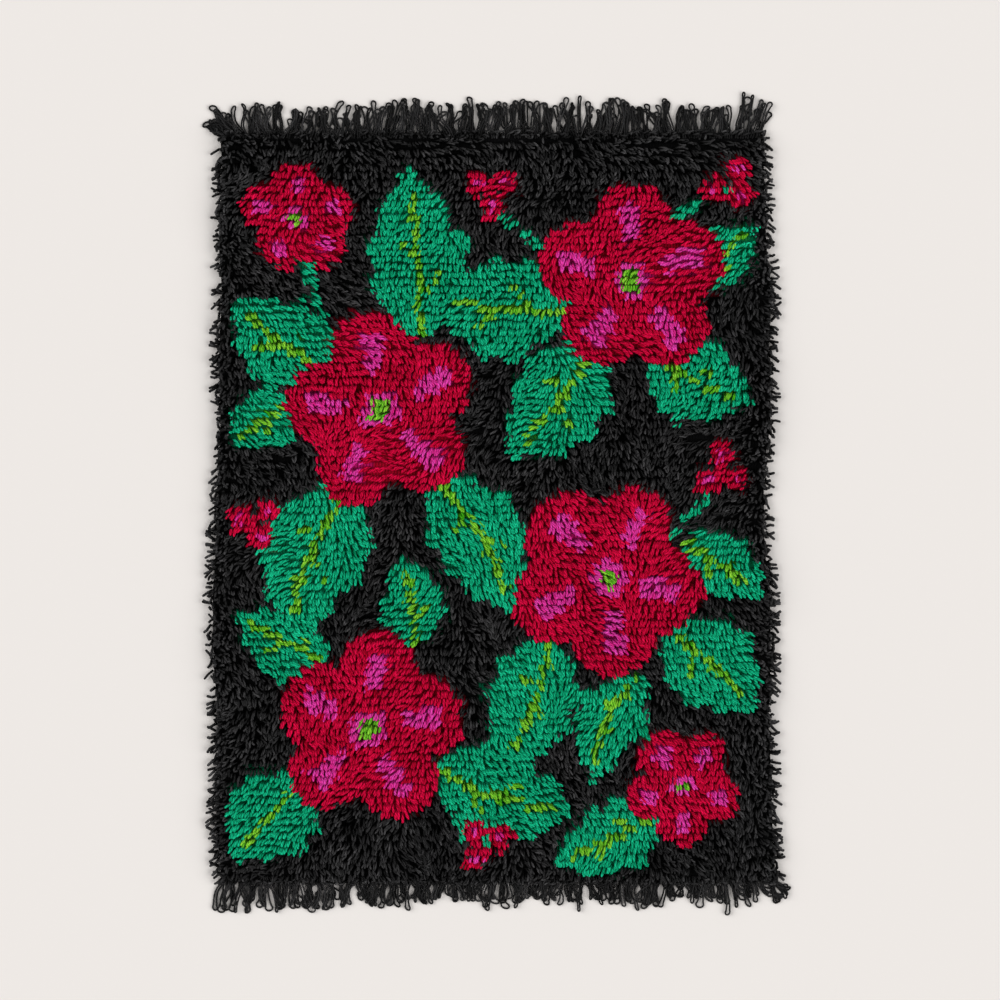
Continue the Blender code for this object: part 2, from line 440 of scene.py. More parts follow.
FINISHES = {
    Yarn.BLACK: YarnFinish("ground_pile", (0.0012, 0.0012, 0.0014), (0.084, 0.082, 0.084),
                           roughness=0.55, specular=0.15, tone_power=1.9, root_shade=0.06,
                           root_reach=0.9),
    Yarn.CRIMSON: YarnFinish("crimson_pile", (0.46, 0.0003, 0.021), (0.97, 0.005, 0.08)),
    Yarn.MAGENTA: YarnFinish("magenta_pile", (0.82, 0.013, 0.25), (1.0, 0.085, 0.60)),
    Yarn.GREEN: YarnFinish("green_pile", (0.0003, 0.32, 0.140), (0.013, 0.74, 0.385)),
    Yarn.LIME: YarnFinish("lime_pile", (0.06, 0.45, 0.010), (0.38, 0.88, 0.06)),
}
# The cord takes painted shade between its plies, and none towards its ends.
CORD_FINISH = YarnFinish("fringe_cord", (0.0012, 0.0012, 0.0014), (0.040, 0.039, 0.040),
                         roughness=0.55, specular=0.15, tone_power=1.9, twist_length=6.0 * MM,
                         groove_shade=0.8, root_shade=1.0, bump_depth=0.6 * MM)


@dataclass(frozen=True)
class GroundFinish:
    """Woven ground in the yarn's own colours, with the knots' backs raised in rows and painted
    shade between them.
    """

    slot: str = "ground_weave"
    roughness: float = 0.92
    specular: float = 0.1
    leg_pitch: float = 4.55 * MM
    row_pitch: float = 10.39 * MM
    back_power: float = 0.6
    shade_between_backs: float = 0.3
    bump: float = 0.8
    bump_depth: float = 1.2 * MM

    def material(self) -> bpy.types.Material:
        """Build the ground's material.

        Returns:
            The material.
        """
        sketch = ShaderSketch(self.slot, self.roughness, self.specular)
        place = sketch.parts(sketch.place())
        legs = sketch.maths("MULTIPLY", place["X"], math.pi / self.leg_pitch)
        legs = sketch.maths("ABSOLUTE", sketch.maths("SINE", legs))
        rows = sketch.maths("MULTIPLY", place["Y"], math.pi / self.row_pitch)
        rows = sketch.maths("ABSOLUTE", sketch.maths("COSINE", rows))
        backs = sketch.maths("POWER", sketch.maths("MULTIPLY", legs, rows), self.back_power)
        # Painted shade: the colour darkens between the knots' backs.
        shade = sketch.maths("MULTIPLY_ADD", backs, 1 - self.shade_between_backs, self.shade_between_backs)
        sketch.colour(sketch.attribute("knot_yarn")["Color"], shade)
        sketch.emboss(backs, self.bump, self.bump_depth)
        return sketch.material


@dataclass(frozen=True)
class FloorFinish:
    """A plain, matt, pale floor."""

    colour: Colour = (0.80, 0.764, 0.735)
    roughness: float = 1.0
    specular: float = 0.0

    def material(self) -> bpy.types.Material:
        """Build the floor's material.

        Returns:
            The material.
        """
        sketch = ShaderSketch("floor", self.roughness, self.specular)
        sketch.shader.inputs["Base Color"].default_value = (*self.colour, 1.0)
        return sketch.material


@dataclass(frozen=True)
class Blossom:
    """An open flower of round petals, each with a streak of a second yarn."""

    across: float
    up: float
    radius: float
    turn: float
    petals: int = 5
    cleft: float = 0.30
    lobe_power: float = 0.7
    streak: tuple[float, float] = (0.38, 0.80)
    streak_width: float = 31.0
    streak_root: float = 0.35
    heart: float = 0.2
    eye: float = 0.11

    def knot(self, chart: np.ndarray, x: np.ndarray, y: np.ndarray) -> None:
        """Set the flower's knots in a chart.

        Args:
            chart: the yarn of each knot, changed in place.
            x: the knots' places across, in millimetres.
            y: the knots' places up, in millimetres.
        """
        away = np.hypot(x - self.across, y - self.up)
        angle = np.arctan2(y - self.up, x - self.across) - math.radians(self.turn)
        lobe = np.abs(np.cos(angle * self.petals / 2)) ** self.lobe_power
        share = away / (self.radius * (1 - self.cleft + self.cleft * lobe))
        chart[share < 1] = Yarn.CRIMSON.mark
        petal = 2 * math.pi / self.petals
        aside = away * np.sin(angle - np.round(angle / petal) * petal)
        streak = (share > self.streak[0]) & (share < self.streak[1])
        streak &= np.abs(aside) < self.streak_width / 2 * (share + self.streak_root)
        chart[streak | (away < self.heart * self.radius)] = Yarn.MAGENTA.mark
        chart[away < self.eye * self.radius] = Yarn.LIME.mark


@dataclass(frozen=True)
class Leaf:
    """A pointed leaf with a waved edge, a midrib and side veins on either hand in turn."""

    base: tuple[float, float]
    tip: tuple[float, float]
    width: float
    bend: float
    widest: float = 0.8
    fullness: float = 0.85
    wave: float = 0.1
    waves: float = 26.0
    rib: float = 5.2
    rib_end: float = 0.84
    veins: tuple[float, ...] = (0.25, 0.46)
    vein: float = 4.4
    vein_slant: float = 0.9
    vein_reach: float = 0.48

    def knot(self, chart: np.ndarray, x: np.ndarray, y: np.ndarray) -> None:
        """Set the leaf's knots in a chart.

        Args:
            chart: the yarn of each knot, changed in place.
            x: the knots' places across, in millimetres.
            y: the knots' places up, in millimetres.
        """
        way = Vector(self.tip) - Vector(self.base)
        length = way.length
        way = way / length
        along = ((x - self.base[0]) * way.x + (y - self.base[1]) * way.y) / length
        aside = (y - self.base[1]) * way.x - (x - self.base[0]) * way.y
        inner = np.clip(along, 0, 1)
        aside = aside - self.bend * np.sin(inner * math.pi)
        half = self.width / 2 * np.abs(np.sin(math.pi * inner ** self.widest)) ** self.fullness
        half = half * (1 + self.wave * np.sin(inner * self.waves))
        inside = (along > 0) & (along < 1) & (np.abs(aside) < half)
        chart[inside] = Yarn.GREEN.mark
        veins = (np.abs(aside) < self.rib) & (along < self.rib_end)
        for place, start in enumerate(self.veins):
            side = 1 if place % 2 else -1
            rising = (along - start) * length - np.abs(aside) * self.vein_slant
            reached = np.abs(aside) < half * self.vein_reach
            veins |= (np.abs(rising) < self.vein) & reached & (np.sign(aside) == side)
        chart[inside & veins] = Yarn.LIME.mark


@dataclass(frozen=True)
class Stem:
    """A thin bowed stem."""

    start: tuple[float, float]
    end: tuple[float, float]
    bow: float
    width: float = 12.5
    steps: int = 10

    def knot(self, chart: np.ndarray, x: np.ndarray, y: np.ndarray) -> None:
        """Set the stem's knots in a chart.

        Args:
            chart: the yarn of each knot, changed in place.
            x: the knots' places across, in millimetres.
            y: the knots' places up, in millimetres.
        """
        start, end = Vector(self.start), Vector(self.end)
        chord = end - start
        middle = (start + end) / 2 + Vector((-chord.y, chord.x)) * self.bow
        line = [start.lerp(middle, t).lerp(middle.lerp(end, t), t)
                for t in np.linspace(0, 1, self.steps)]
        for one, two in zip(line, line[1:]):
            run = two - one
            t = ((x - one.x) * run.x + (y - one.y) * run.y) / run.length_squared
            t = np.clip(t, 0, 1)
            away = np.hypot(x - one.x - t * run.x, y - one.y - t * run.y)
            chart[away < self.width / 2] = Yarn.GREEN.mark


@dataclass(frozen=True)
class Berries:
    """Round berries on a stem's end, each with a spot of a second yarn."""

    across: float
    up: float
    turn: float
    count: int = 3
    size: float = 19.0
    spread: float = 23.0
    spot: float = 7.0

    def knot(self, chart: np.ndarray, x: np.ndarray, y: np.ndarray) -> None:
        """Set the berries' knots in a chart.

        Args:
            chart: the yarn of each knot, changed in place.
            x: the knots' places across, in millimetres.
            y: the knots' places up, in millimetres.
        """
        for number in range(self.count):
            angle = math.radians(self.turn + 360 / self.count * number)
            away = np.hypot(x - self.across - self.spread * math.cos(angle),
                            y - self.up - self.spread * math.sin(angle))
            chart[away < self.size] = Yarn.CRIMSON.mark
            chart[away < self.spot] = Yarn.MAGENTA.mark


MOTIFS = (
    Stem((205, 340), (5, 455), 0.22),
    Stem((-165, 150), (-285, 400), 0.18),
    Stem((165, -95), (325, 45), -0.22),
    Stem((-165, 150), (-340, -5), 0.25),
    Stem((-180, -315), (-25, -480), 0.2),
    Stem((165, -95), (262, -390), -0.16),
    Stem((205, 340), (352, 478), 0.2),
    Leaf((110, 300), (-100, 325), 146, 14),
    Leaf((225, 235), (380, 160), 128, -6),
    Leaf((140, 245), (30, 75), 140, 8),
    Leaf((-110, 255), (-125, 508), 148, -8),
    Leaf((-250, 205), (-382, 305), 124, 4),
    Leaf((-215, 40), (-300, -185), 148, -10),
    Leaf((-80, 50), (30, -145), 138, 8),
    Leaf((255, -170), (380, -290), 134, 6),
    Leaf((85, -185), (5, -375), 142, 10),
    Leaf((-85, -375), (115, -440), 140, -12),
    Leaf((-270, -390), (-372, -515), 130, -8),
    Leaf((240, -440), (85, -512), 108, 6),
    Leaf((-245, -220), (-380, -150), 100, 6),
    Leaf((-110, -195), (-135, -65), 92, -8),
    Leaf((285, -45), (390, -125), 92, 6),
    Leaf((210, -235), (140, -392), 88, -8),
    Leaf((-285, 165), (-390, 95), 86, -6),
    Leaf((310, 330), (388, 420), 84, 6),
    Blossom(205, 340, 142, 90),
    Blossom(-165, 150, 146, 30),
    Blossom(165, -95, 144, 60),
    Blossom(-180, -315, 140, 10),
    Blossom(-285, 430, 82, 90, streak=(0.45, 0.78), streak_width=20.0),
    Blossom(275, -400, 86, 54, streak=(0.45, 0.78), streak_width=20.0),
    Berries(0, 470, 30),
    Berries(338, 60, 90),
    Berries(-345, -15, 50),
    Berries(-15, -480, 10),
    Berries(345, 480, 70),
)


def charted(x: np.ndarray, y: np.ndarray) -> np.ndarray:
    """Read the design's yarn at many places.

    Args:
        x: places across, in millimetres.
        y: places up, in millimetres.

    Returns:
        The yarns' marks.
    """
    chart = np.full(len(x), Yarn.BLACK.mark)
    for motif in MOTIFS:
        motif.knot(chart, x, y)
    return chart


@dataclass
class PackedPile:
    """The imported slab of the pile, read for its height."""

    node: str = "rug_pile"
    from_height: float = 0.1
    past_the_edge: float = 8.5 * MM

    def __post_init__(self) -> None:
        """Index the slab's faces for casting rays at them."""
        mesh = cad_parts[self.node].data
        points = [vertex.co.copy() for vertex in mesh.vertices]
        faces = [tuple(face.vertices) for face in mesh.polygons]
        self.tree = BVHTree.FromPolygons(points, faces)

    def heights(self, x: np.ndarray, y: np.ndarray) -> np.ndarray:
        """Read the pile's height at many places.

        Args:
            x: places across.
            y: places up.

        Returns:
            The heights.
        """
        down = Vector((0, 0, -1))
        found = []
        for across, up in zip(x, y):
            hit = self.tree.ray_cast(Vector((across, up, self.from_height)), down)[0]
            found.append(self.past_the_edge if hit is None else hit.z)
        return np.array(found)


class SweepSketch(NodeSketch):
    """A Geometry Nodes tree as it is drawn, which sweeps yarn along curves."""

    def __init__(self, name: str, sizes: dict[str, int | float]) -> None:
        """Open the tree's node group.

        Args:
            name: the group's name.
            sizes: its inputs by name, with their usual values.
        """
        super().__init__(bpy.data.node_groups.new(name, "GeometryNodeTree"))
        face = self.tree.interface
        face.new_socket("Geometry", in_out="INPUT", socket_type="NodeSocketGeometry")
        for label, value in sizes.items():
            kind = "NodeSocketInt" if isinstance(value, int) else "NodeSocketFloat"
            face.new_socket(label, in_out="INPUT", socket_type=kind).default_value = value
        face.new_socket("Finish", in_out="INPUT", socket_type="NodeSocketMaterial")
        face.new_socket("Geometry", in_out="OUTPUT", socket_type="NodeSocketGeometry")
        self.given = self.add("NodeGroupInput").outputs

    def attribute(self, name: str, kind: str = "FLOAT") -> Socket:
        """Read a named attribute of the points.

        Args:
            name: the attribute's name.
            kind: its data type.

        Returns:
            The attribute.
        """
        node = self.add("GeometryNodeInputNamedAttribute", {"Name": name}, data_type=kind)
        return node.outputs["Attribute"]

    def held(self, geometry: Socket, kind: str, value: Socket) -> tuple[Socket, Socket]:
        """Capture a field on geometry.

        Args:
            geometry: what holds the field.
            kind: the field's socket type.
            value: the field.

        Returns:
            The geometry and the captured field.
        """
        node = self.add("GeometryNodeCaptureAttribute", domain="POINT")
        node.capture_items.new(kind, "kept")
        self.feed(node.inputs["Geometry"], geometry)
        self.feed(node.inputs["kept"], value)
        return node.outputs["Geometry"], node.outputs["kept"]

    def stored(self, mesh: Socket, name: str, kind: str, value: Socket) -> Socket:
        """Keep a field on a mesh's points.

        Args:
            mesh: the mesh.
            name: the attribute's name.
            kind: its data type.
            value: the field.

        Returns:
            The mesh.
        """
        given = {"Geometry": mesh, "Name": name, "Value": value}
        node = self.add("GeometryNodeStoreNamedAttribute", given, data_type=kind, domain="POINT")
        return node.outputs[0]

    def swept(self, curve: Socket, sides: Socket, radius: Socket, length: Socket) -> Socket:
        """Sweep round yarn along curves and mark the way of its plies.

        Args:
            curve: the curves.
            sides: how many sides the yarn has.
            radius: its radius.
            length: how far along the yarn each point is.

        Returns:
            The yarn's mesh.
        """
        ring = self.add("GeometryNodeCurvePrimitiveCircle", {"Resolution": sides})
        spot = self.add("GeometryNodeInputPosition").outputs[0]
        profile, around = self.held(ring.outputs[0], "VECTOR", spot)
        given = {"Curve": curve, "Profile Curve": profile, "Scale": radius, "Fill Caps": True}
        mesh = self.add("GeometryNodeCurveToMesh", given)
        spots = self.parts(around)
        ply = self.combined(spots["X"], spots["Y"], length)
        return self.stored(mesh.outputs[0], "ply", "FLOAT_VECTOR", ply)

    def closed(self, mesh: Socket) -> bpy.types.GeometryNodeTree:
        """Smooth the mesh, make it real, give it its finish and end the tree.

        Args:
            mesh: the yarn's mesh.

        Returns:
            The tree.
        """
        smooth = self.add("GeometryNodeSetShadeSmooth", {"Geometry": mesh})
        real = self.add("GeometryNodeRealizeInstances", {"Geometry": smooth.outputs[0]})
        given = {"Geometry": real.outputs[0], "Material": self.given["Finish"]}
        dressed = self.add("GeometryNodeSetMaterial", given)
        self.add("NodeGroupOutput", {"Geometry": dressed.outputs[0]})
        return self.tree


@dataclass(frozen=True)
class Course:
    """The course of a strand, as fields on its points.

    Its rise is the share of the reach that it has gone, its run the length along it in reaches,
    its sway the share of the belly that it takes, and its width its radius.
    """

    rise: Socket
    run: Socket
    sway: Socket
    width: Socket


@dataclass(frozen=True)
class StrandSweep:
    """The tree that grows a strand of yarn on every point of a piece.

    A point's attributes give its strand: reach, from root to tip; belly, its sideways sway, or
    half a loop's width; girth, its radius; tone, its shade; and looped, for an uncut loop.
    """

    sides: int = 4
    cut_points: int = 4
    loop_points: int = 7
    step_power: float = 2.5
    lean_power: float = 1.3
    bend: float = 1.9
    tip_rounding: float = 0.1
    tip_share: float = 0.8

    def tree(self) -> bpy.types.GeometryNodeTree:
        """Draw the tree.

        Returns:
            The node group, with its inputs named.
        """
        sketch = SweepSketch("strands", {
            "Step power": self.step_power, "Yarn sides": self.sides,
            "Cut points": self.cut_points, "Loop points": self.loop_points})
        looped = sketch.maths("GREATER_THAN", sketch.attribute("looped"), 0.5)
        given = {"Geometry": sketch.given["Geometry"], "Selection": looped}
        sorted_out = sketch.add("GeometryNodeSeparateGeometry", given, domain="POINT")
        loops = self.loops(sketch, sorted_out.outputs["Selection"])
        cuts = self.cuts(sketch, sorted_out.outputs["Inverted"])
        joined = sketch.add("GeometryNodeJoinGeometry")
        sketch.feed(joined.inputs[0], loops)
        sketch.feed(joined.inputs[0], cuts)
        return sketch.closed(joined.outputs[0])

    def loops(self, sketch: SweepSketch, points: Socket) -> Socket:
        """Grow the uncut loops, up to the tip and down again.

        Args:
            sketch: the tree being drawn.
            points: the points to grow on.

        Returns:
            The loops' mesh.
        """
        straight, share = self.straight(sketch, points, "Loop points")
        turn = sketch.maths("MULTIPLY", share, math.pi)
        course = Course(
            rise=sketch.maths("SINE", turn),
            run=sketch.maths("MULTIPLY", share, 2.0),
            sway=sketch.maths("MULTIPLY", sketch.maths("COSINE", turn), -1.0),
            width=sketch.attribute("girth"))
        return self.laid(sketch, straight, share, course)

    def cuts(self, sketch: SweepSketch, points: Socket) -> Socket:
        """Grow the cut strands, with closer steps towards their rounded tips.

        Args:
            sketch: the tree being drawn.
            points: the points to grow on.

        Returns:
            The strands' mesh.
        """
        straight, share = self.straight(sketch, points, "Cut points")
        to_tip = sketch.maths("POWER", sketch.maths("SUBTRACT", 1.0, share),
                              sketch.given["Step power"])
        rise = sketch.maths("SUBTRACT", 1.0, to_tip)
        into_tip = sketch.maths("SUBTRACT", rise, 1 - self.tip_rounding)
        into_tip = sketch.maths("MULTIPLY", into_tip, self.tip_share / self.tip_rounding,
                                clamp=True)
        squared = sketch.maths("MULTIPLY", into_tip, into_tip)
        rounded = sketch.maths("SQRT", sketch.maths("SUBTRACT", 1.0, squared))
        course = Course(
            rise=rise,
            run=rise,
            sway=sketch.maths("SINE", sketch.maths("MULTIPLY", rise, math.pi)),
            width=sketch.maths("MULTIPLY", sketch.attribute("girth"), rounded))
        return self.laid(sketch, straight, share, course)

    @staticmethod
    def straight(sketch: SweepSketch, points: Socket, count: str) -> tuple[Socket, Socket]:
        """Stand a stepped upright line of length 1 on every point.

        Args:
            sketch: the tree being drawn.
            points: the points.
            count: the tree's input that says how many steps a line has.

        Returns:
            The lines, and the share of the way along them.
        """
        line = sketch.add("GeometryNodeCurvePrimitiveLine", {"End": (0, 0, 1)})
        given = {"Curve": line.outputs[0], "Count": sketch.given[count]}
        stepped = sketch.add("GeometryNodeResampleCurve", given)
        given = {"Points": points, "Instance": stepped.outputs[0]}
        stood = sketch.add("GeometryNodeInstanceOnPoints", given)
        real = sketch.add("GeometryNodeRealizeInstances", {"Geometry": stood.outputs[0]})
        factor = sketch.add("GeometryNodeSplineParameter").outputs["Factor"]
        return sketch.held(real.outputs[0], "FLOAT", factor)

    def laid(self, sketch: SweepSketch, straight: Socket, share: Socket,
             course: Course) -> Socket:
        """Bend the upright lines along their course and sweep yarn along them.

        Args:
            sketch: the tree being drawn.
            straight: the upright lines.
            share: the share of the way along them.
            course: the course to follow.

        Returns:
            The yarn's mesh.
        """
        reach = sketch.attribute("reach", "FLOAT_VECTOR")
        belly = sketch.attribute("belly", "FLOAT_VECTOR")
        place = sketch.add("GeometryNodeInputPosition").outputs[0]
        root = sketch.vectors("SUBTRACT", place, sketch.combined(0.0, 0.0, share))
        out = sketch.maths("POWER", course.rise, self.lean_power)
        bent = sketch.maths("SINE", sketch.maths("MULTIPLY", course.rise, self.bend))
        up = sketch.maths("DIVIDE", bent, math.sin(self.bend))
        lean = sketch.vectors("MULTIPLY", reach, sketch.combined(out, out, up))
        lean = sketch.vectors("ADD", lean, sketch.scaled(belly, course.sway))
        given = {"Geometry": straight, "Position": sketch.vectors("ADD", root, lean)}
        moved = sketch.add("GeometryNodeSetPosition", given)
        length = sketch.maths("MULTIPLY", course.run, sketch.vectors("LENGTH", reach))
        mesh = sketch.swept(moved.outputs[0], sketch.given["Yarn sides"], course.width, length)
        return sketch.stored(mesh, "rise", "FLOAT", course.rise)


@dataclass(frozen=True)
class CordSweep:
    """The tree that sweeps a round cord along a piece's lines."""

    sides: int = 5
    radius: float = 1.4 * MM

    def tree(self) -> bpy.types.GeometryNodeTree:
        """Draw the tree.

        Returns:
            The node group, with its inputs named.
        """
        sketch = SweepSketch("cords", {"Cord sides": self.sides, "Cord radius": self.radius})
        curve = sketch.add("GeometryNodeMeshToCurve", {"Mesh": sketch.given["Geometry"]})
        length = sketch.add("GeometryNodeSplineParameter").outputs["Length"]
        line, run = sketch.held(curve.outputs[0], "FLOAT", length)
        mesh = sketch.swept(line, sketch.given["Cord sides"], sketch.given["Cord radius"], run)
        return sketch.closed(mesh)


@dataclass
class Seeding:
    """The points and lines that a tree grows a piece on, with their attributes."""

    points: np.ndarray
    attributes: dict[str, np.ndarray]
    lines: list[tuple[int, int]] = field(default_factory=list)
    kept: str = "tone"

    def grown(self, name: str, tree: bpy.types.GeometryNodeTree,
              finish: bpy.types.Material) -> bpy.types.Object:
        """Grow a piece and make it a plain mesh.

        Args:
            name: the piece's name.
            tree: the tree that grows it.
            finish: its material.

        Returns:
            The piece, with no modifier left on it.
        """
        seeds = bpy.data.meshes.new(name + "_seeds")
        seeds.from_pydata(self.points.tolist(), self.lines, [])
        for label, values in self.attributes.items():
            kind, slot = ("FLOAT_VECTOR", "vector") if values.ndim == 2 else ("FLOAT", "value")
            layer = seeds.attributes.new(label, kind, "POINT")
            layer.data.foreach_set(slot, values.astype(np.float32).ravel())
        carrier = placed(name + "_seeds", seeds)
        grower = carrier.modifiers.new("grow", "NODES")
        grower.node_group = tree
        for item in tree.interface.items_tree:
            if item.in_out == "INPUT" and item.socket_type != "NodeSocketGeometry":
                given = finish if item.name == "Finish" else item.default_value
                grower[item.identifier] = given
        ready = carrier.evaluated_get(bpy.context.evaluated_depsgraph_get())
        mesh = bpy.data.meshes.new_from_object(ready)
        mesh.name = name
        for label in self.attributes:
            if label != self.kept:
                mesh.attributes.remove(mesh.attributes[label])
        carrier.modifiers.remove(grower)
        bpy.data.objects.remove(carrier)
        bpy.data.meshes.remove(seeds)
        return placed(name, mesh)


@dataclass
class KnottedPile:
    """The pile: rows of knots on the ground weave, coloured by the design.

    A pair of sizes is the looser black ground's and the motifs', apart from root_scatter, which
    is across and up, and half_loop, which is the least and the most. A scatter is a standard
    deviation.
    """

    rows: int = 106
    knot_pitch: float = 9.1 * MM
    end_inset: float = 4.0 * MM
    side_inset: float = 5.0 * MM
    knot_scatter: float = 0.6 * MM
    ripple: Swell = Swell(35 * MM, 2.7, 3.0 * MM)

    lean: float = 14.0 * MM
    lean_angle: float = -90.0
    wide_turn: Swell = Swell(150 * MM, 1.3, 95.0)
    fine_turn: Swell = Swell(45 * MM, 5.1)
    fine_angle: tuple[float, float] = (62.0, 50.0)
    angle_scatter: tuple[float, float] = (12.0, 6.0)
    top_band: float = 72.0 * MM
    top_turn: float = 62.0
    reach_swell: Swell = Swell(60 * MM, 8.4, 0.3)
    reach_scatter: float = 0.06

    loop_share: tuple[float, float] = (0.22, 0.08)
    loop_free_edge: float = 16.0 * MM
    four_legged: tuple[float, float] = (1.0, 0.15)
    four_legged_at_ends: float = 0.9

    looseness: tuple[float, float] = (0.85, 0.55)
    turn_scatter: float = 16.0
    length_scatter: float = 0.16
    root_scatter: tuple[float, float] = (0.5 * MM, 1.45 * MM)
    root_height: float = 2.6 * MM

    edge_band: float = 38.0 * MM
    end_band: float = 18.0 * MM
    far_poke: float = 11.0 * MM
    near_poke: float = 4.8 * MM
    far_share: float = 0.25
    top_poke: float = 5.0 * MM
    bottom_poke: float = 2.0 * MM
    stray: float = 13.0 * MM
    edge_slack: float = 0.7
    overhang: float = 11.5 * MM
    end_overhang: float = 2.0 * MM

    sunk: tuple[float, float] = (1.8 * MM, 1.5 * MM)
    tip_clearance: float = 0.4 * MM
    lowest_tip: float = 3.0 * MM
    sway: float = 1.7 * MM
    sway_up: float = 0.3
    half_loop: tuple[float, float] = (2.2 * MM, 3.5 * MM)
    loop_turn: float = 35.0
    girth: tuple[float, float] = (1.5 * MM, 1.85 * MM)
    girth_scatter: float = 0.13 * MM
    outer_band: float = 24.0 * MM
    outer_girth: float = 0.4
    tone: float = 0.5
    tone_scatter: float = 0.22
    bands: dict[Yarn, int] = field(
        default_factory=lambda: {Yarn.BLACK: 3, Yarn.CRIMSON: 2, Yarn.GREEN: 2})
    seed: int = 21

    def set_out(self) -> tuple[np.ndarray, np.ndarray, np.ndarray]:
        """Place every knot in its row and read its yarn from the design.

        Returns:
            The knots' places across and up, and their yarns' marks.
        """
        rng = np.random.default_rng(self.seed)
        pitch = (FIELD_LENGTH - 2 * self.end_inset) / (self.rows - 1)
        lines = FIELD_LENGTH / 2 - self.end_inset - pitch * np.arange(self.rows)
        lefts, rights = side_edges(lines)
        across, up = [], []
        for line, left, right in zip(lines, lefts, rights):
            count = round((right - left - 2 * self.side_inset) / self.knot_pitch) + 1
            across.append(np.linspace(left + self.side_inset, right - self.side_inset, count))
            up.append(np.full(count, line))
        x, y = np.concatenate(across), np.concatenate(up)
        yarn = charted(x / MM, y / MM)
        ripple = self.ripple.over(x, y)
        x = x + rng.normal(0, self.knot_scatter, len(x))
        y = y + ripple + rng.normal(0, self.knot_scatter, len(y))
        return x, y, yarn

    def ways(self, x: np.ndarray, y: np.ndarray, loose: np.ndarray,
             rng: np.random.Generator) -> tuple[np.ndarray, np.ndarray]:
        """Find the way that the pile lies at each knot.

        Args:
            x: the knots' places across.
            y: the knots' places up.
            loose: which knots are the ground's.
            rng: the source of the scatter.

        Returns:
            The angles, in degrees from +X, and how far the strands reach.
        """
        angle = self.lean_angle + self.wide_turn.over(x, y)
        angle = angle + np.where(loose, *self.fine_angle) * self.fine_turn.over(x, y)
        angle = angle + rng.normal(0, 1, len(x)) * np.where(loose, *self.angle_scatter)
        near_top = np.clip(1 - (FIELD_LENGTH / 2 - y) / self.top_band, 0, 1)
        angle = angle + self.top_turn * near_top
        scatter = self.reach_swell.over(x, y) + rng.normal(0, self.reach_scatter, len(x))
        return angle, self.lean * (1 + scatter)

    def legs(self, x: np.ndarray, y: np.ndarray, loose: np.ndarray,
             rng: np.random.Generator) -> tuple[np.ndarray, np.ndarray]:
        """Choose the uncut loops and count every knot's legs.

        Args:
            x: the knots' places across.
            y: the knots' places up.
            loose: which knots are the ground's.
            rng: the source of the choice.

        Returns:
            Which knots are uncut loops, and how many strands each knot has.
        """
        looped = rng.random(len(x)) < np.where(loose, *self.loop_share)
        left, right = side_edges(y)
        looped &= np.minimum(x - left, right - x) > self.loop_free_edge
        at_ends = np.abs(y) > FIELD_LENGTH / 2 - self.edge_band
        fours = np.where(loose, *self.four_legged)
        fours = np.where(at_ends, self.four_legged_at_ends, fours)
        in_fours = rng.random(len(x)) < fours
        return looped, np.where(looped, 1, np.where(in_fours, 4, 3))

    def spill(self, roots: np.ndarray, lean: np.ndarray, rng: np.random.Generator) -> np.ndarray:
        """Push the strands near the edges outwards, and keep their tips by the field.

        Args:
            roots: the strands' roots, across and up.
            lean: the way from root to tip of each, across and up.
            rng: the source of the scatter.

        Returns:
            The tips, across and up.
        """
        left, right = side_edges(roots[:, 1])
        top = FIELD_LENGTH / 2
        poke = np.where(rng.random(len(roots)) < self.far_share, self.far_poke, self.near_poke)
        stray = rng.uniform(-1, 1, roots.shape) * self.stray
        edges = (
            (roots[:, 0] - left, self.edge_band, (-1, 0), poke),
            (right - roots[:, 0], self.edge_band, (1, 0), poke),
            (top - roots[:, 1], self.end_band, (0, 1), self.top_poke),
            (roots[:, 1] + top, self.end_band, (0, -1), self.bottom_poke),
        )
        for distance, band, way, push in edges:
            share = np.clip(1 - distance / band, 0, 1)[:, None]
            push = np.broadcast_to(push, len(roots))[:, None] * np.array(way)
            lean = lean * (1 - self.edge_slack * share) + (push + stray) * share
        tips = roots + lean
        far = top + self.end_overhang
        tips[:, 0] = np.clip(tips[:, 0], left - self.overhang, right + self.overhang)
        tips[:, 1] = np.clip(tips[:, 1], -far, far)
        return tips

    def lay(self, packed: PackedPile) -> tuple[Seeding, np.ndarray]:
        """Lay every strand the way the pile lies, up to the slab's height.

        Args:
            packed: the slab to follow.

        Returns:
            The strands' roots and attributes, and their yarns' marks.
        """
        x, y, yarn = self.set_out()
        rng = np.random.default_rng(self.seed + 1)
        ground = yarn == Yarn.BLACK.mark
        angle, reach = self.ways(x, y, ground, rng)
        looped, sizes = self.legs(x, y, ground, rng)

        knot = np.repeat(np.arange(len(x)), sizes)
        total = len(knot)
        loose = ground[knot]
        number = np.arange(total) - np.repeat(np.cumsum(sizes) - sizes, sizes)
        leg = ((number + 0.5) / sizes[knot] - 0.5) * self.knot_pitch
        loosened = np.where(loose, *self.looseness)
        turn = np.radians(angle[knot] + rng.normal(0, self.turn_scatter, total) * loosened)
        length = reach[knot] * (1 + rng.normal(0, self.length_scatter, total) * loosened)
        lean = length[:, None] * np.stack([np.cos(turn), np.sin(turn)], axis=1)
        root_x = x[knot] + leg + rng.normal(0, self.root_scatter[0], total)
        root_y = y[knot] + rng.normal(0, self.root_scatter[1], total) * loosened
        roots = np.stack([root_x, root_y], axis=1)
        tips = self.spill(roots, lean, rng)

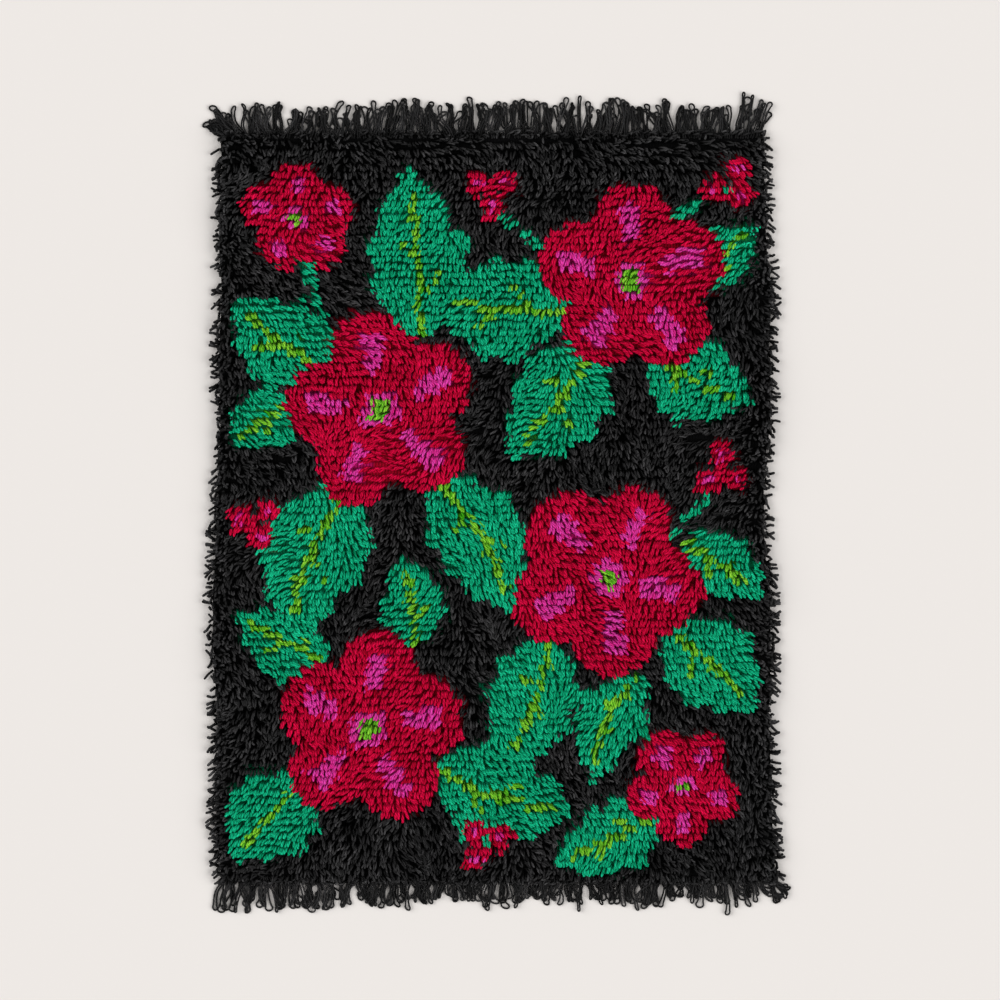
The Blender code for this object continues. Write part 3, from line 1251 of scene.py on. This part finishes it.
        under = np.abs(rng.normal(0, 1, total)) * np.where(loose, *self.sunk)
        tip_z = packed.heights(tips[:, 0], tips[:, 1]) - under - self.tip_clearance
        tips = np.column_stack([tips, np.maximum(tip_z, self.lowest_tip)])
        roots = np.column_stack([roots, np.full(total, self.root_height)])
        sway = rng.normal(0, self.sway, (total, 3)) * (1, 1, self.sway_up) * loosened[:, None]
        half_loop = rng.uniform(*self.half_loop, total)
        across = np.radians(angle[knot] + 90 + rng.normal(0, self.loop_turn, total))
        opened = np.stack([np.cos(across), np.sin(across), np.zeros(total)], axis=1)
        belly = np.where(looped[knot][:, None], opened * half_loop[:, None], sway)

        girth = np.where(loose, *self.girth) + rng.normal(0, 1, total) * self.girth_scatter
        left, right = side_edges(root_y)
        inset = np.minimum(root_x - left, right - root_x)
        girth = girth * (1 + self.outer_girth * np.clip(1 - inset / self.outer_band, 0, 1))
        tone = np.clip(rng.normal(self.tone, self.tone_scatter, total), 0, 1)
        attributes = {"reach": tips - roots, "belly": belly, "girth": girth, "tone": tone,
                      "looped": looped[knot].astype(float)}
        return Seeding(roots, attributes), yarn[knot]

    def build(self, packed: PackedPile) -> list[bpy.types.Object]:
        """Build the pile's pieces: one for each yarn, the fullest of them in bands.

        Args:
            packed: the slab to follow.

        Returns:
            The pieces.
        """
        strands, marks = self.lay(packed)
        tree = StrandSweep().tree()
        down = 0.5 - strands.points[:, 1] / FIELD_LENGTH
        pieces = []
        for yarn in Yarn:
            finish = FINISHES[yarn].material()
            bands = self.bands.get(yarn, 1)
            band = np.clip(np.floor(down * bands), 0, bands - 1)
            for number in range(bands):
                chosen = (marks == yarn.mark) & (band == number)
                attributes = {label: values[chosen]
                              for label, values in strands.attributes.items()}
                name = yarn.value + (f"_{number + 1}" if bands > 1 else "")
                piece = Seeding(strands.points[chosen], attributes).grown(name, tree, finish)
                pieces.append(piece)
        bpy.data.node_groups.remove(tree)
        return pieces


@dataclass(frozen=True)
class Clump:
    """Some neighbouring loops that lean together, with their lean in millimetres."""

    loops: int
    lean: float


UPPER_CLUMPS = (
    Clump(4, -17), Clump(5, 3), Clump(4, 9), Clump(6, -5), Clump(5, 6), Clump(4, -8),
    Clump(6, 4), Clump(5, -6), Clump(5, 8), Clump(6, -4), Clump(4, -9), Clump(5, 5),
    Clump(3, 12),
)
LOWER_CLUMPS = (
    Clump(4, -7), Clump(6, 4), Clump(5, -6), Clump(4, 8), Clump(5, -4), Clump(6, 5),
    Clump(5, -9), Clump(4, -2), Clump(5, 7), Clump(6, -5), Clump(4, 3), Clump(4, 9),
    Clump(4, 15),
)
UPPER_REACH = ((-420, 37), (-330, 41), (-290, 35), (-190, 38), (-115, 45), (-40, 41), (-10, 47),
               (50, 47), (135, 41), (165, 49), (250, 41), (330, 41), (370, 53), (420, 48))
LOWER_REACH = ((-420, 42), (-300, 40), (-215, 37), (-130, 36), (-60, 30), (15, 36), (50, 29),
               (120, 33), (170, 29), (222, 38), (280, 29), (335, 33), (420, 31))


@dataclass
class LoopedFringe:
    """One end's fringe: uncut loops of warp cord in clumps, the upper layer over the lower.

    A pair of sizes is the least and the most, apart from clump_pull and lean_scatter, which are
    the upper layer's and the lower's, and flare, which is the left corner's and the right's. A
    lean is so many millimetres aside in lean_run millimetres out.
    """

    name: str
    end: End
    clumps: tuple[Clump, ...]
    reach_rows: tuple[tuple[float, float], ...]
    flare: tuple[float, float]
    seed: int
    cord: CordSweep = CordSweep()
    loops: int = 204
    side_inset: float = 5.0 * MM
    root_inset: float = 9.0 * MM
    root_scatter: float = 1.2 * MM
    corner_loops: int = 7
    corner_band: tuple[float, float] = (1.0 * MM, 16.0 * MM)

    gather: float = 0.2
    lean_run: float = 38.0
    clump_pull: tuple[float, float] = (0.75, 0.2)
    lean_scatter: tuple[float, float] = (8.0, 11.0)
    flared_loops: int = 26

    reach_change: float = -4.5 * MM
    reach_scatter: float = 6.0 * MM
    short_from: float = 0.7
    short_over: float = 0.6
    shortest: float = 0.3

    leg_steps: int = 7
    eye_steps: int = 9
    eye_radius: tuple[float, float] = (2.9 * MM, 4.9 * MM)
    eye_turn: float = 128.0
    eye_openings: tuple[float, ...] = (0.5, 0.8, 1.0, 1.15)
    eye_tilt: float = 0.6
    leg_gap: float = 1.15
    crossed_share: float = 0.3
    crossing_rise: float = 1.3 * MM

    bow: float = 3.2 * MM
    bow_turn: float = 3.1
    drift: float = 1.5 * MM
    waver: float = 1.3 * MM
    waver_turn: float = 6.3
    floor_gap: float = 1.03
    layer_rise: float = 2.5 * MM
    layer_fall: float = 0.75
    root_rise: float = 1.2 * MM
    root_run: float = 14.0 * MM
    root_power: float = 1.5
    billow: float = 0.5 * MM
    billow_turn: float = 8.0
    tone: float = 0.5
    tone_scatter: float = 0.25

    @property
    def steps(self) -> int:
        """Count the points of one loop's centre line."""
        return 2 * self.leg_steps + self.eye_steps

    def roots(self, rng: np.random.Generator) -> np.ndarray:
        """Space the loops along the field's end, with some more at the flared corner.

        Args:
            rng: the source of the scatter.

        Returns:
            The loops' places across.
        """
        left, right = side_edges(np.array([self.end.value * FIELD_LENGTH / 2]))
        roots = np.linspace(left[0] + self.side_inset, right[0] - self.side_inset, self.loops)
        roots = roots + rng.normal(0, self.root_scatter, self.loops)
        corner = np.sort(rng.uniform(*self.corner_band, self.corner_loops))
        if self.flare[0] > self.flare[1]:
            return np.concatenate([left[0] + corner, roots])
        return np.concatenate([roots, right[0] - corner[::-1]])

    def leans(self, roots: np.ndarray, upper: np.ndarray,
              rng: np.random.Generator) -> np.ndarray:
        """Find the way each loop leans.

        Args:
            roots: the loops' places across.
            upper: which loops are of the upper layer.
            rng: the source of the scatter.

        Returns:
            The leans, in radians from straight out.
        """
        shares = (np.arange(len(roots)) + 0.5) / len(roots)
        ends = np.cumsum([clump.loops for clump in self.clumps])
        ends = ends / ends[-1]
        leans = np.zeros(len(roots))
        for number, clump in enumerate(self.clumps):
            start = ends[number - 1] if number else 0.0
            mine = (shares >= start) & (shares < ends[number])
            leans[mine] = clump.lean + (roots[mine].mean() - roots[mine]) / MM * self.gather
        leans = leans * np.where(upper, *self.clump_pull)
        scatter = rng.normal(0, 1, len(roots)) * np.where(upper, *self.lean_scatter)
        leans = np.arctan((leans + scatter) / self.lean_run)
        corner = np.clip(1 - np.arange(len(roots)) / self.flared_loops, 0, 1)
        leans -= corner * math.radians(self.flare[0])
        leans += corner[::-1] * math.radians(self.flare[1])
        return leans

    def reaches(self, roots: np.ndarray, leans: np.ndarray,
                rng: np.random.Generator) -> np.ndarray:
        """Find how far each loop's tip lies from the pile.

        Args:
            roots: the loops' places across.
            leans: the way each loop leans.
            rng: the source of the scatter.

        Returns:
            The distances, along the loops.
        """
        reach = eased(roots, [row[0] * MM for row in self.reach_rows],
                      [row[1] * MM for row in self.reach_rows])
        reach = reach + rng.normal(self.reach_change, self.reach_scatter, len(roots))
        short = (np.abs(leans) - self.short_from) / self.short_over
        return reach * (1 - np.clip(short, 0, self.shortest))

    def centre_line(self, root: float, lean: float, reach: float, upper: bool,
                    rng: np.random.Generator) -> np.ndarray:
        """Draw one loop's centre line, up one leg, round the eye and down the other.

        Args:
            root: its place across.
            lean: the way it leans, in radians.
            reach: how far its tip lies from the pile.
            upper: whether it is of the upper layer.
            rng: the source of its shape.

        Returns:
            The line's points.
        """
        eye = rng.uniform(*self.eye_radius)
        opened = rng.choice(self.eye_openings)
        turn = np.radians(np.linspace(-self.eye_turn, self.eye_turn, self.eye_steps))
        leg = np.linspace(0, 1, self.leg_steps + 1)[:-1]
        neck = reach - eye + eye * math.cos(turn[0])
        gap = self.cord.radius * self.leg_gap
        half = gap + (eye * opened * math.sin(turn[-1]) - gap) * leg ** 3
        crossed = rng.random() < self.crossed_share
        swing = np.cos(math.pi * leg) if crossed else -np.ones(len(leg))
        out = -self.root_inset + (neck + self.root_inset) * leg
        aside = np.concatenate([half * swing, eye * opened * np.sin(turn), (-half * swing)[::-1]])
        out = np.concatenate([out, reach - eye + eye * np.cos(turn), out[::-1]])
        hump = np.sin(math.pi * leg) * (self.crossing_rise if crossed else 0.0)
        tilt = (1 - opened) * eye * self.eye_tilt * (1 + np.sin(turn))
        lift = np.concatenate([hump, tilt, -hump[::-1]])

        share = np.clip(out / reach, 0, 1)
        aside = aside + rng.normal(0, self.bow) * np.sin(self.bow_turn * share)
        aside = aside + rng.normal(0, self.drift) * share
        aside = aside + rng.normal(0, self.waver) * np.sin(self.waver_turn * share
                                                          + rng.uniform(-1, 1))
        floor = self.cord.radius * self.floor_gap
        z = floor + upper * self.layer_rise * (1 - self.layer_fall * share ** 2) + lift
        z = z + (1 - np.clip(out / self.root_run, 0, 1)) ** self.root_power * self.root_rise
        z = z + self.billow * (1 + np.sin(self.billow_turn * share + rng.uniform(0, 6)))
        x = root + out * math.sin(lean) + aside * math.cos(lean)
        y = out * math.cos(lean) - aside * math.sin(lean)
        y = self.end.value * (FIELD_LENGTH / 2 + y)
        return np.stack([x, y, np.maximum(z, floor)], axis=1)

    def build(self, tree: bpy.types.GeometryNodeTree,
              finish: bpy.types.Material) -> bpy.types.Object:
        """Build the fringe.

        Args:
            tree: the tree that sweeps cord along lines.
            finish: the cord's material.

        Returns:
            The piece.
        """
        rng = np.random.default_rng(self.seed)
        roots = self.roots(rng)
        upper = np.arange(len(roots)) % 2 == 1
        leans = self.leans(roots, upper, rng)
        reach = self.reaches(roots, leans, rng)
        points = np.concatenate([self.centre_line(*loop, rng)
                                 for loop in zip(roots, leans, reach, upper)])
        lines = [(start + step, start + step + 1)
                 for start in range(0, len(points), self.steps)
                 for step in range(self.steps - 1)]
        tones = np.clip(rng.normal(self.tone, self.tone_scatter, len(roots)), 0, 1)
        seeding = Seeding(points, {"tone": np.repeat(tones, self.steps)}, lines)
        piece = seeding.grown(self.name, tree, finish)
        return piece


@dataclass
class GroundWeave:
    """The woven ground that carries the knots, coloured by the knots' yarn on both faces.

    Its top takes the yarn of the knots a little further up, whose strands lean over it. That
    shift is in the design's millimetres.
    """

    name: str = "ground_weave"
    top: float = 5.0 * MM
    bottom: float = 0.4 * MM
    side_inset: float = 4.0 * MM
    end_inset: float = 1.0 * MM
    cells_across: int = 70
    cells_up: int = 82
    shade_between_strands: float = 0.9
    shift: float = 5.0
    finish: GroundFinish = GroundFinish()

    def build(self) -> bpy.types.Object:
        """Build the closed sheet, in cells a little larger than the knots.

        Returns:
            The piece.
        """
        ups = np.linspace(-1, 1, self.cells_up + 1) * (FIELD_LENGTH / 2 - self.end_inset)
        lefts, rights = side_edges(ups)
        shares = np.linspace(0, 1, self.cells_across + 1)
        x = ((lefts + self.side_inset)[:, None] * (1 - shares)
             + (rights - self.side_inset)[:, None] * shares)
        y = np.repeat(ups[:, None], len(shares), axis=1)
        points = np.concatenate([
            np.stack([x, y, np.full(x.shape, z)], axis=-1).reshape(-1, 3)
            for z in (self.bottom, self.top)])
        place = np.arange(x.size).reshape(x.shape)
        corners = (place[:-1, :-1], place[1:, :-1], place[1:, 1:], place[:-1, 1:])
        below = np.stack(corners, axis=-1).reshape(-1, 4)
        rim = [*place[0, :], *place[1:, -1], *place[-1, -2::-1], *place[-2:0:-1, 0]]
        sides = [(one, two, two + x.size, one + x.size)
                 for one, two in zip(rim, rim[1:] + rim[:1])]
        mesh = bpy.data.meshes.new(self.name)
        mesh.from_pydata(points.tolist(), [],
                         below.tolist() + (below[:, ::-1] + x.size).tolist() + sides)
        self.dress(mesh)
        piece = placed(self.name, mesh)
        return piece

    def dress(self, mesh: bpy.types.Mesh) -> None:
        """Colour the backs as the yarn, and paint the top darker, as shade between the strands.

        Args:
            mesh: the sheet's mesh.
        """
        flat = np.empty(len(mesh.vertices) * 3, dtype=np.float32)
        mesh.vertices.foreach_get("co", flat)
        places = flat.reshape(-1, 3)
        on_top = places[:, 2] > (self.top + self.bottom) / 2
        chart = charted(places[:, 0] / MM, places[:, 1] / MM + self.shift * on_top)
        deeps, brights = (
            np.array([(*getattr(FINISHES[yarn], shade), 1.0) for yarn in Yarn])[chart]
            for shade in ("deep", "bright"))
        # Painted shade: the top takes the yarn's deep end, dimmed further, where the underside
        # takes its middle.
        colours = np.where(on_top[:, None], deeps, (deeps + brights) / 2)
        colours[on_top, :3] *= self.shade_between_strands
        layer = mesh.color_attributes.new("knot_yarn", "FLOAT_COLOR", "POINT")
        layer.data.foreach_set("color", colours.astype(np.float32).ravel())
        mesh.materials.append(self.finish.material())


@dataclass(frozen=True)
class Lamp:
    """One large soft lamp, far from the rug on the way named."""

    name: str
    way: tuple[float, float, float]
    strength: float
    spread: float

    def build(self) -> None:
        """Build the lamp."""
        light = bpy.data.lights.new(self.name, "SUN")
        light.energy = self.strength
        light.angle = math.radians(self.spread)
        lamp = placed(self.name, light)
        lamp.location = Vector(self.way) * 2
        lamp.rotation_euler = Vector(self.way).to_track_quat("Z", "Y").to_euler()


@dataclass
class Studio:
    """The pale floor, the soft light and the camera straight above the rug."""

    floor: FloorFinish = FloorFinish()
    floor_size: float = 9.0
    sky_colour: Colour = (1.0, 0.995, 0.99)
    sky_strength: float = 0.37
    lamps: tuple[Lamp, ...] = (
        Lamp("right_lamp", (1.35, -0.35, 1.0), 2.04, 50.0),
        Lamp("left_lamp", (-1.35, 0.35, 1.0), 1.74, 50.0),
    )
    image_size: int = 1000
    metres_to_a_pixel: float = 1.47 * MM
    rug_pixel: tuple[float, float] = (493.5, 507.5)
    lens: float = 85.0
    sensor: float = 36.0
    far_clip: float = 50.0

    def build(self) -> None:
        """Build the floor, the lights and the camera."""
        self.build_floor()
        self.build_light()
        self.build_camera()

    def build_floor(self) -> None:
        half = self.floor_size / 2
        mesh = bpy.data.meshes.new("floor")
        mesh.from_pydata([(-half, -half, 0), (half, -half, 0), (half, half, 0), (-half, half, 0)],
                         [], [(0, 1, 2, 3)])
        mesh.materials.append(self.floor.material())
        placed("floor", mesh)

    def build_light(self) -> None:
        """Build the even light from all sides and the lamps."""
        world = bpy.data.worlds.new("studio")
        world.use_nodes = True
        sky = world.node_tree.nodes["Background"]
        sky.inputs["Color"].default_value = (*self.sky_colour, 1.0)
        sky.inputs["Strength"].default_value = self.sky_strength
        bpy.context.scene.world = world
        for lamp in self.lamps:
            lamp.build()

    def build_camera(self) -> None:
        """Build the camera, high enough to see the picture's whole width of floor."""
        camera = bpy.data.cameras.new("camera")
        camera.lens = self.lens
        camera.sensor_width = self.sensor
        camera.clip_end = self.far_clip
        middle = self.image_size / 2
        across = (middle - self.rug_pixel[0]) * self.metres_to_a_pixel
        up = (self.rug_pixel[1] - middle) * self.metres_to_a_pixel
        width = self.image_size * self.metres_to_a_pixel
        eye = placed("camera", camera)
        eye.location = (across, up, width * self.lens / self.sensor)
        bpy.context.scene.camera = eye
        bpy.context.scene.view_settings.view_transform = "Standard"


def main() -> None:
    """Build the rug's pieces in order, place them on the frame and report each one."""
    logging.basicConfig(level=logging.INFO, format="%(name)s %(message)s")
    Studio().build()
    weave = GroundWeave().build()
    pile = KnottedPile().build(PackedPile())
    tree = CordSweep().tree()
    cord = CORD_FINISH.material()
    upper = LoopedFringe("fringe_cords_upper", End.UPPER, UPPER_CLUMPS, UPPER_REACH,
                         flare=(52.0, 6.0), seed=31)
    lower = LoopedFringe("fringe_cords_lower", End.LOWER, LOWER_CLUMPS, LOWER_REACH,
                         flare=(6.0, 44.0), seed=32)
    fringes = [upper.build(tree, cord), lower.build(tree, cord)]
    bpy.data.node_groups.remove(tree)

    for piece in (weave, *pile, *fringes):
        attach(piece, "root")
        log.info("%s: %d faces", piece.name, len(piece.data.polygons))
    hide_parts("rug_pile")
    for piece in pile:
        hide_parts("rug_pile")
    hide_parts("fringe_upper")
    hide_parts("fringe_lower")


if __name__ == "__main__":
    main()
